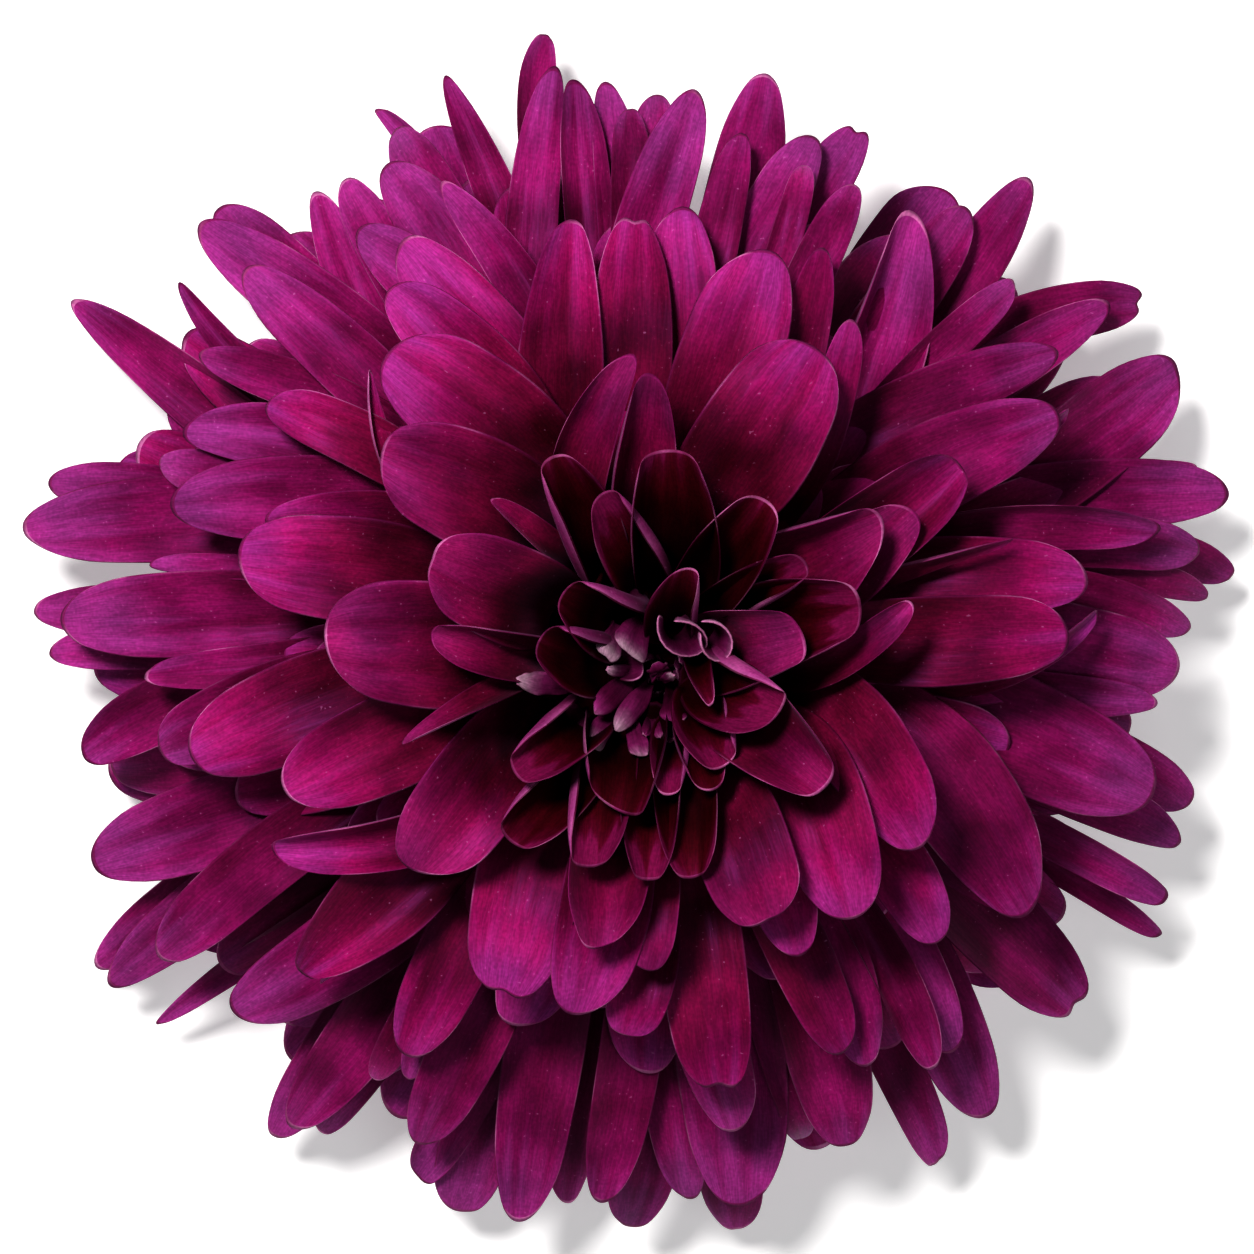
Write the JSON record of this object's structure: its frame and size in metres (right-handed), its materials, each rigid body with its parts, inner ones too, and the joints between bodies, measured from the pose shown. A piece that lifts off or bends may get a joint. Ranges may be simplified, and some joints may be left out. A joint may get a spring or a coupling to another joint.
{
  "type": "cremon chrysanthemum flower head",
  "caption": "Cut chrysanthemum bloom lying face up: a dome of strap-shaped ray florets in whorls, dark cups round a small heart, a green bract cup and a short cut stem.",
  "frame": {"origin": "on the surface that the bloom lies on, under the middle of its outline", "axes": "+Z up along the flower's axis, out of its face; +X to the right and +Y up in the picture's view"},
  "size_m": [0.11, 0.1102, 0.0489],
  "materials": {
    "petal": "soft velvety petal with fine lengthwise veins, paler on the reverse",
    "young_petal": "pale silvery lilac, matte, finely downy",
    "bract": "matte green with papery pale margins",
    "stem": "ribbed green stalk with a moist pale cut end"
  },
  "bodies": {
    "root": {"ray_florets": "petal", "heart_florets": "young_petal", "involucre": "bract", "stem": "stem"}
  },
  "joints": []
}
